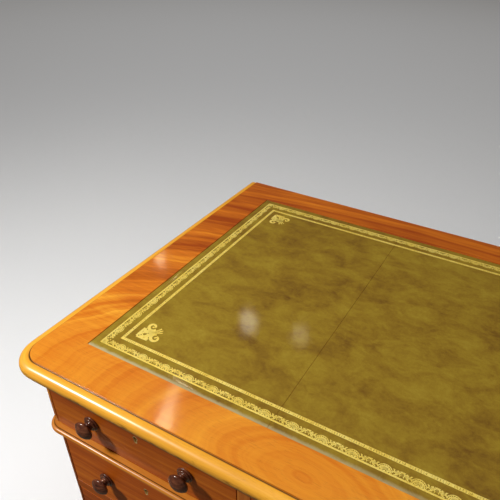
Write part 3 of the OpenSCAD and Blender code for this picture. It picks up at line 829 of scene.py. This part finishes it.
def wide_repeat(stamp, s, length):
    """One repeat of the wide band: a ribbed shell between pairs of scrolls and leaves."""
    t0 = WIDE_BAND[0]
    k = length / REPEAT
    shell = s + length / 2
    stamp.ribbon(arc(shell, t0 + 2.2, 7.0, 0, 180, 12), 0.7)
    stamp.ribbon(arc(shell, t0 + 2.2, 9.4, 22, 158, 10), 0.5)
    for i in range(7):
        a = 15 + 25 * i
        stamp.leaf(shell + 1.6 * math.cos(math.radians(a)),
                   t0 + 3.0 + 1.6 * math.sin(math.radians(a)), a, 4.6, 1.7)
    for i in range(9):
        a = math.radians(18 + 18 * i)
        stamp.dot(shell + 8.2 * math.cos(a), t0 + 2.2 + 8.2 * math.sin(a), 0.55, 6)
    stamp.dot(shell, t0 + 2.6, 1.3)
    for m in (-1, 1):
        def at(d):
            return shell + m * d * k
        for d, t, r, start, turn, width in ((11.6, 4.2, 3.3, 90, -300, 0.95),
                                            (12.6, 9.2, 2.5, 60, 280, 0.8),
                                            (17.2, 4.6, 2.6, 110, -270, 0.8)):
            stamp.spiral(at(d), t0 + t, r, 90 + start * m, turn * m, width)
        for d, t, lean, reach, width in ((15.2, 6.6, -55, 4.4, 1.5), (15.0, 6.4, 0, 4.8, 1.6),
                                         (14.6, 6.2, 50, 3.4, 1.3), (18.8, 8.6, -20, 3.2, 1.4)):
            stamp.leaf(at(d), t0 + t, 90 + lean * m, reach, width)
        for d, t, r in ((9.2, 10.2, 0.7), (17.6, 10.6, 0.7), (8.6, 2.6, 0.8), (14.4, 2.3, 0.7)):
            stamp.dot(at(d), t0 + t, r, 6)
        stamp.ring(at(20.45), t0 + 6.9, 1.1, 0.5, 8)
    stamp.ribbon([(s, t0 + 0.5), (s + length, t0 + 0.5)], 0.85)
    stamp.ribbon([(s, t0 + 1.75), (s + length, t0 + 1.75)], 0.4)
    beads = 16
    for i in range(beads):
        stamp.dot(s + length * (i + 0.5) / beads, t0 + 1.15, 0.42, 5)


def narrow_repeat(stamp, s, length):
    """One repeat of the narrow band: a bar, beads and lozenges between two fine lines."""
    t0, t1 = NARROW_BAND
    t = (t0 + t1) / 2
    k = length / NARROW_REPEAT
    stamp.ribbon([(s, t0 + 0.3), (s + length, t0 + 0.3)], 0.5)
    stamp.ribbon([(s, t1 - 0.3), (s + length, t1 - 0.3)], 0.5)
    stamp.ribbon([(s + 0.6 * k, t), (s + 6.4 * k, t)], 2.3)
    for d in (8.2, 24.4):
        stamp.ring(s + d * k, t, 1.0, 0.6, 8)
    for d in (11.2, 14.6, 18.0, 21.4):
        stamp.leaf(s + (d - 1.5) * k, t, 0, 3.0 * k, 2.4)
    for d in (12.9, 16.3, 19.7):
        stamp.dot(s + d * k, t, 0.45, 6)


def corner_fill(stamp):
    """The mitred corner of the wide band: a fan on the diagonal with two scrolls."""
    a0 = WIDE_BAND[0]
    mid = a0 + 6.8
    for i in range(5):
        angle = 45 - 52 + 26 * i
        stamp.leaf(a0 + 2.4, a0 + 2.4, angle, 9.8 - 1.2 * abs(i - 2), 2.2)
    stamp.dot(a0 + 2.6, a0 + 2.6, 1.7)
    stamp.spiral(mid + 4.6, a0 + 4.4, 2.7, 200, 280, 0.8)
    stamp.spiral(a0 + 4.4, mid + 4.6, 2.7, 250, -280, 0.8)
    stamp.dot(mid + 3.6, mid + 3.6, 1.0)
    for s, t in ((0.5, 14.2), (14.2, 0.5)):
        stamp.ribbon([(a0 + 0.5, a0 + 0.5), (a0 + s, a0 + t)], 0.85)


def fleuron(stamp):
    """A dart with two scrolls and a small tail, pointing at the corner."""
    def turned(a, b):
        c = FLEURON_AT * math.sqrt(2) + a
        return ((c + b) / math.sqrt(2), (c - b) / math.sqrt(2))

    def line(points, width, tip=None):
        stamp.ribbon([turned(a, b) for a, b in points], width, tip)
    for m in (-1, 1):
        line([(-20.5, 0.4 * m), (-13, 7.4 * m), (-5.4, 13.6 * m)], 1.5, 2.4)
        line([(-5.4, 13.4 * m), (-6.6, 8.0 * m), (-3.0, 5.2 * m), (1.5, 3.2 * m)], 2.0, 3.0)
        line([(-16.5, 1.6 * m), (-8.5, 4.8 * m), (-2, 2.6 * m)], 1.6, 2.6)
        scroll = [(1 + 0.4 * i, 1.8 * m + 0.5 * i * m) for i in range(3)]
        for i in range(17):
            f = i / 16
            angle = math.radians(300 - 345 * f)
            r = 9.6 * (1 - 0.62 * f)
            scroll.append((5.6 + 0.9 * f + r * math.cos(angle) * 0.86,
                           (13.4 + r * math.sin(angle)) * m))
        line(scroll, 3.0, 1.5)
        a, b = turned(6.4, 12.4 * m)
        stamp.dot(a, b, 1.7)
        line([(6, 1.2 * m), (11, 2.6 * m), (18.5, 5.0 * m)], 2.0, 0.8)
        line([(-2, 0.7 * m), (8, 1.2 * m), (14.5, 0.8 * m)], 1.8, 1.4)
    line([(12, 0), (19.8, 0)], 2.0, 0.6)
    a, b = turned(-11.5, 0)
    stamp.dot(a, b, 1.2)


def draw_band(stamp, length, start, repeat, draw):
    """Repeats of a band between the corners of one edge."""
    run = length - 2 * start
    count = round(run / repeat)
    for i in range(count):
        draw(stamp, start + run * i / count, run / count)


def make_gilding(material):
    """The two bands along all four edges, and the four corners."""
    lo, hi = LEATHER_LO / MM, LEATHER_HI / MM
    edges = {
        "front": (hi.x - lo.x, lambda s, t: (lo.x + s, lo.y + t)),
        "right": (hi.y - lo.y, lambda s, t: (hi.x - t, lo.y + s)),
        "back": (hi.x - lo.x, lambda s, t: (hi.x - s, hi.y - t)),
        "left": (hi.y - lo.y, lambda s, t: (lo.x + t, hi.y - s)),
    }
    for name, (length, place) in edges.items():
        def placed(s, t, place=place):
            x, y = place(s, t)
            return x * MM, y * MM
        stamps = {kind: Stamp(placed) for kind in ("wide_band", "narrow_band", "fleuron")}
        draw_band(stamps["wide_band"], length, WIDE_BAND[1] + 0.4, REPEAT, wide_repeat)
        corner_fill(stamps["wide_band"])
        draw_band(stamps["narrow_band"], length, NARROW_BAND[0], NARROW_REPEAT, narrow_repeat)
        fleuron(stamps["fleuron"])
        for kind, stamp in stamps.items():
            new_piece(f"gilt_{kind}_{name}", stamp.bm, "carcase", material, 40)


# ---- Mouldings of the waist and the plinths ----
def waist_profile():
    """Section of the waist moulding: ledge, quirk, nose, fillet and cove."""
    top, under = WAIST_HI.z, WAIST_LO.z
    out = CASE_LO.x - WAIST_LO.x
    radius, drop, quirk, quirk_deep, fillet, fillet_in, cove = (
        v * MM for v in (4.5, 1, 1.6, 3, 2, 3.5, 8))
    x = out - radius
    z = top - drop - radius
    first = math.degrees(math.acos(-quirk / 2 / radius))
    edge = out - fillet_in
    points = [(0, under), (0, top), (x - quirk - 0.4 * MM, top), (x - quirk, top)]
    points += [(x - quirk, top - quirk_deep)]
    points += [(x - quirk / 2, top - quirk_deep)]
    points += arc(x, z, radius, first, -90, 18)
    points += [(edge, z - radius - fillet * 0.01), (edge, z - radius - fillet)]
    points += arc(edge, z - radius - fillet - cove, cove, 90, 180, 8)[1:]
    points += [(edge - cove, under)]
    return points


def plinth_profile():
    """Section of the plinth: plain board, fillet and ovolo."""
    lo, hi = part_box("left_plinth")
    board_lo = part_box("left_outer_side")[0]
    out = board_lo.x - lo.x
    fillet_h, fillet_in, band, ledge = (v * MM for v in (3, 2, 2, 1))
    radius = out - fillet_in - ledge
    start = hi.z - band - radius
    points = [(-PLINTH_T, lo.z), (-PLINTH_T, hi.z), (ledge, hi.z)]
    points += arc(ledge, start, radius, 90, 0, 12)
    points += [(out - fillet_in, start - fillet_h), (out, start - fillet_h), (out, lo.z)]
    return points


def make_waist(material):
    """The waist's front with its two round corners, and its two sides."""
    lengths = moulding_lengths(CASE_LO, CASE_HI, WAIST_R, CASE_LO.x - WAIST_LO.x,
                               WAIST_HI.y)
    for name, stations in lengths.items():
        # The quirk, 8 to 9.1 mm out, is given painted shade.
        bm = sweep(waist_profile(), stations, (8 * MM, 9.1 * MM))
        bmesh.ops.remove_doubles(bm, verts=bm.verts, dist=1e-6)
        piece = new_piece(f"waist_{name}", bm, "carcase", material, 26)
        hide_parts("waist_moulding")


# ---- Flat boards of the case ----
def make_board(node, body, pick, bevel=SOFT_EDGE, segments=2):
    """Rebuilds each solid of a CAD node with soft edges. pick gives its name and its
    material from its extent and its number."""
    for number, bm in enumerate(loose_parts(node)):
        low, high = extent(bm)
        name, material = pick(low, high, number)
        piece = new_piece(name, bm, body, material, 32)
        round_edges(piece, bevel, segments)
        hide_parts(node)


def make_case(woods):
    """Every board of the case, each with the grain along its length."""
    def case_board(node, name, grain, bevel=SOFT_EDGE, segments=2):
        def pick(low, high, number):
            return name if number == 0 else f"{name}_{number + 1}", woods[grain]
        make_board(node, "carcase", pick, bevel, segments)
    case_board("top_board", "top_field", "top", 0.8 * MM, 3)
    for side in SIDES:
        case_board(f"frieze_{side}_end", f"frieze_end_{side}", "side_y")
        case_board(f"{side}_outer_side", f"outer_side_{side}", "ped_side")
        case_board(f"{side}_inner_side", f"inner_side_{side}", "ped_side")
        case_board(f"{side}_back", f"pedestal_back_{side}", "side_z")
        case_board(f"{side}_pedestal_top", f"pedestal_top_{side}", "rail")
        case_board(f"{side}_bottom", f"bottom_board_{side}", "rail")
    case_board("frieze_back", "frieze_back_board", "side_x")
    case_board("frieze_dividers", "divider", "side_z")
    case_board("frieze_top_rails", "top_rail", "rail")
    case_board("frieze_base", "frieze_base_board", "rail")
    for side in SIDES:
        def rail_part(low, high, number, side=side):
            if low.y < CASE_LO.y + 10 * MM:
                return f"drawer_blade_{side}_{number}", woods["rail"]
            if high.x - low.x > 100 * MM:
                return f"dustboard_{side}_{number}", woods["inner_y"]
            return f"runner_or_stop_{side}_{number}", woods["inner_y"]
        make_board(f"{side}_drawer_rails", "carcase", rail_part)


def make_plinths(material):
    """Each plinth's sides, front, two front corners and back."""
    for side in SIDES:
        lo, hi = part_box(f"{side}_plinth")
        outer_lo, outer_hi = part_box(f"{side}_outer_side")
        inner_lo, inner_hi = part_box(f"{side}_inner_side")
        plan_lo = Vector((min(outer_lo.x, inner_lo.x), outer_lo.y, 0))
        plan_hi = Vector((max(outer_hi.x, inner_hi.x), outer_hi.y, 0))
        lengths = moulding_lengths(plan_lo, plan_hi, 0, plan_lo.x - lo.x, hi.y)
        front = lengths.pop("front")
        for name, stations in lengths.items():
            bm = sweep(plinth_profile(), stations)
            piece = new_piece(f"plinth_{side}_{name}", bm, "carcase",
                              material, 26)
            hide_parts(f"{side}_plinth")
        straight = [s for s in front if s[1].y < -0.999]
        outer = [(max(u, 0.0), z) for u, z in plinth_profile()]
        bm = sweep(plinth_profile(), straight)
        new_piece(f"plinth_{side}_front", bm, "carcase", material, 26)
        halves = ([s for s in front if s[1].x < -1e-6] + [straight[0]],
                  [straight[-1]] + [s for s in front if s[1].x > 1e-6])
        for half, label in zip(halves, ("a", "b")):
            bm = sweep(outer, half)
            bmesh.ops.remove_doubles(bm, verts=bm.verts, dist=1e-6)
            new_piece(f"plinth_{side}_corner_{label}", bm, "carcase",
                      material, 26)
        bm = bmesh.new()
        bmesh.ops.create_cube(bm, size=1)
        size = Vector((plan_hi.x - plan_lo.x - 2 * (PLINTH_T + GLUE_GAP), PLINTH_T,
                       hi.z - lo.z))
        middle = Vector(((plan_lo.x + plan_hi.x) / 2, hi.y - PLINTH_T / 2,
                         (lo.z + hi.z) / 2))
        for vert in bm.verts:
            vert.co = Vector(a * b for a, b in zip(vert.co, size)) + middle
        new_piece(f"plinth_{side}_back", bm, "carcase", material, 26,
                  SOFT_EDGE)


# ---- Drawers ----
def knob_profile(out, head):
    """Section of a turned knob and its peg: beaded flange, ringed neck and domed head."""
    out, head = out / MM, head / MM
    flange = head - 2.5
    dome = 1.3 * head
    edge = head - 1.2
    half = math.degrees(math.asin(edge / dome))
    rim = out - dome * (1 - math.cos(math.radians(half))) - 2.08
    points = [(0, -20), (5, -20), (5, 0)]
    points += arc(flange - 1.5, 1.5, 1.5, -90, 90, 8)
    points += arc(flange - 3.9, 4.1, 1.1, -90, 60, 6)
    points += arc(7.9, 6.2, 1.6, 225, 150, 6)
    points += arc(6.3, 8.7, 1.3, -80, 80, 8)
    points += arc(8.5, 11.6, 2.2, 215, 130, 6)
    points += [(edge - 4.5, rim - 3.2)]
    points += arc(head - 2.6, rim - 2.2, 1.0, -90, 40, 6)
    points += arc(head - 2.4, rim, 2.4, -40, 60, 8)
    points += arc(0, out - dome, dome, 90 - half, 90, 12)
    points[-1] = (0, out)
    return [(r * MM, h * MM) for r, h in points]


def make_knobs(drawer, material):
    """A drawer's two knobs, a glue gap off its face."""
    lo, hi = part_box(f"{drawer}_knobs")
    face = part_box(f"{drawer}_front")[0].y - GLUE_GAP
    radius = (hi.z - lo.z) / 2
    for x, label in ((lo.x + radius, "left"), (hi.x - radius, "right")):
        at = Vector((x, face, (lo.z + hi.z) / 2))
        bm = lathe(knob_profile(face - lo.y, radius), at, 48)
        piece = new_piece(f"{drawer}_knob_{label}", bm, drawer, material, 30)
        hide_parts(f"{drawer}_knobs")


def make_front(drawer, material):
    """A lipped drawer front with its moulded edge softened."""
    make_board(f"{drawer}_front", drawer,
               lambda low, high, number: (f"{drawer}_panel", material), 1.7 * MM, 4)


def make_box(drawer, woods):
    """Sides, back and bottom of a drawer as separate boards."""
    def part(low, high, number):
        across = high.x - low.x
        if across < 30 * MM:
            label = "left" if low.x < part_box(f"{drawer}_front")[0].x + 40 * MM else "right"
            return f"{drawer}_side_{label}", woods["inner_y"]
        if high.z - low.z < 12 * MM:
            return f"{drawer}_bottom_board", woods["inner_x"]
        return f"{drawer}_back_board", woods["inner_x"]
    make_board(f"{drawer}_box", drawer, part, 0.4 * MM)


def screw_head(bm, x, y, z, radius):
    """A countersunk screw head with a slot, facing +Y."""
    steps = 18
    slot = 0.18 * radius
    for side in (-1, 1):
        ring = []
        for i in range(steps + 1):
            a = math.pi * i / steps
            ring.append((x + radius * math.cos(a),
                         z + side * (slot + (radius - slot) * math.sin(a))))
        top = [bm.verts.new((px, y, pz)) for px, pz in ring]
        low = [bm.verts.new((px, y - 0.5 * MM, pz)) for px, pz in ring]
        bm.faces.new(top)
        bm.faces.new(list(reversed(low)))
        for i in range(len(top)):
            j = (i + 1) % len(top)
            bm.faces.new((top[i], low[i], low[j], top[j]))


def make_lock(drawer, brass, case_brass, steel):
    """The thread in the face, and the lock case with its screws."""
    for bm in loose_parts(f"{drawer}_lock"):
        low, high = extent(bm)
        name = "keyhole_thread" if high.x - low.x < 20 * MM else "lock_case"
        metal = brass if name == "keyhole_thread" else case_brass
        piece = new_piece(f"{drawer}_{name}", bm, drawer, metal, 32)
        round_edges(piece, 0.25 * MM)
        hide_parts(f"{drawer}_lock")
        if name == "lock_case":
            case_lo, case_hi = low, high
    bm = bmesh.new()
    for x in (case_lo.x + 6 * MM, case_hi.x - 6 * MM):
        for z in (case_lo.z + 7 * MM, case_hi.z - 9 * MM):
            screw_head(bm, x, case_hi.y + 0.25 * MM, z, 2.6 * MM)
    new_piece(f"{drawer}_lock_screws", bm, drawer, steel, 40)


# ---- Build ----
make_camera()
make_studio()

WOODS = {
    "top": wood("polished_top", "x", TOP_TONES, 3.1, (0.30, -0.76), tilt=30, figure=0.75,
                deepen=(-0.28, 0.15)),
    "side_y": wood("polished_side_y", "y", CASE_TONES, 5.7),
    "side_z": wood("polished_side_z", "z", CASE_TONES, 8.3),
    # Darker and redder on the boards' front edges only, partly as painted shade of the gaps
    # beside the drawers, so the second place lies in front of the first
    "ped_side": wood("polished_pedestal_side", "z", CASE_TONES, 8.3, deepen=(-0.300, -0.308)),
    "side_x": wood("polished_side_x", "x", CASE_TONES, 2.9),
    "rail": wood("polished_rail", "x", FRONT_TONES, 6.1, figure=0.6, gloss=(0.15, 0.25)),
    "nosing": wood("polished_nosing", "x", NOSING_TONES, 1.7, (0.05, 0.03), figure=0.5,
                   along_piece=True, gloss=(0.9, 0.27)),
    # The waist's quirk gets a lighter painted shade than the nosing's.
    "waist": wood("polished_waist", "x", WAIST_TONES, 4.4, (0.05, 0.03), figure=0.5,
                  along_piece=True, gloss=(0.7, 0.24), quirk_shade=0.5),
    "plinth": wood("polished_plinth", "x", CASE_TONES, 7.2, figure=0.6, along_piece=True,
                   low_darkening=0.25),
    "inner_x": wood("drawer_lining_x", "x", INNER_TONES, 9.4, figure=0.5, polish=False),
    "inner_y": wood("drawer_lining_y", "y", INNER_TONES, 4.8, figure=0.5, polish=False),
}
# The lock case's brass is made dark: aged, and as painted shade so that the keyhole's inside
# reads dark.
LOCK_BRASS = metal_material("lock_case_brass", (0.08, 0.05, 0.02), (0.26, 0.17, 0.07),
                            (0.35, 0.6))
BRASS = metal_material("aged_brass", (0.40, 0.27, 0.10), (0.86, 0.66, 0.32), (0.28, 0.5),
                       0.6)
STEEL = metal_material("dull_steel", (0.12, 0.10, 0.09), (0.42, 0.40, 0.38), (0.35, 0.6))
KNOB = knob_material()

make_case(WOODS)
make_nosing(WOODS["nosing"])
make_waist(WOODS["waist"])
make_plinths(WOODS["plinth"])
make_leather(leather_material())
make_gilding(gilt_material())
for index, drawer in enumerate(DRAWERS):
    # Painted light on the pedestals' fronts: their tones are made lighter.
    tones = [tone(colour, 1.0 if drawer.startswith("frieze") else PEDESTAL_PAINTED_LIGHT)
             for colour in FRONT_TONES]
    make_front(drawer, wood(f"drawer_front_{index}", "x", tones, 11 + 3.7 * index,
                            (0.55, 0.08), figure=0.7, gloss=(0.15, 0.25)))
    make_box(drawer, WOODS)
    make_knobs(drawer, KNOB)
    make_lock(drawer, BRASS, LOCK_BRASS, STEEL)
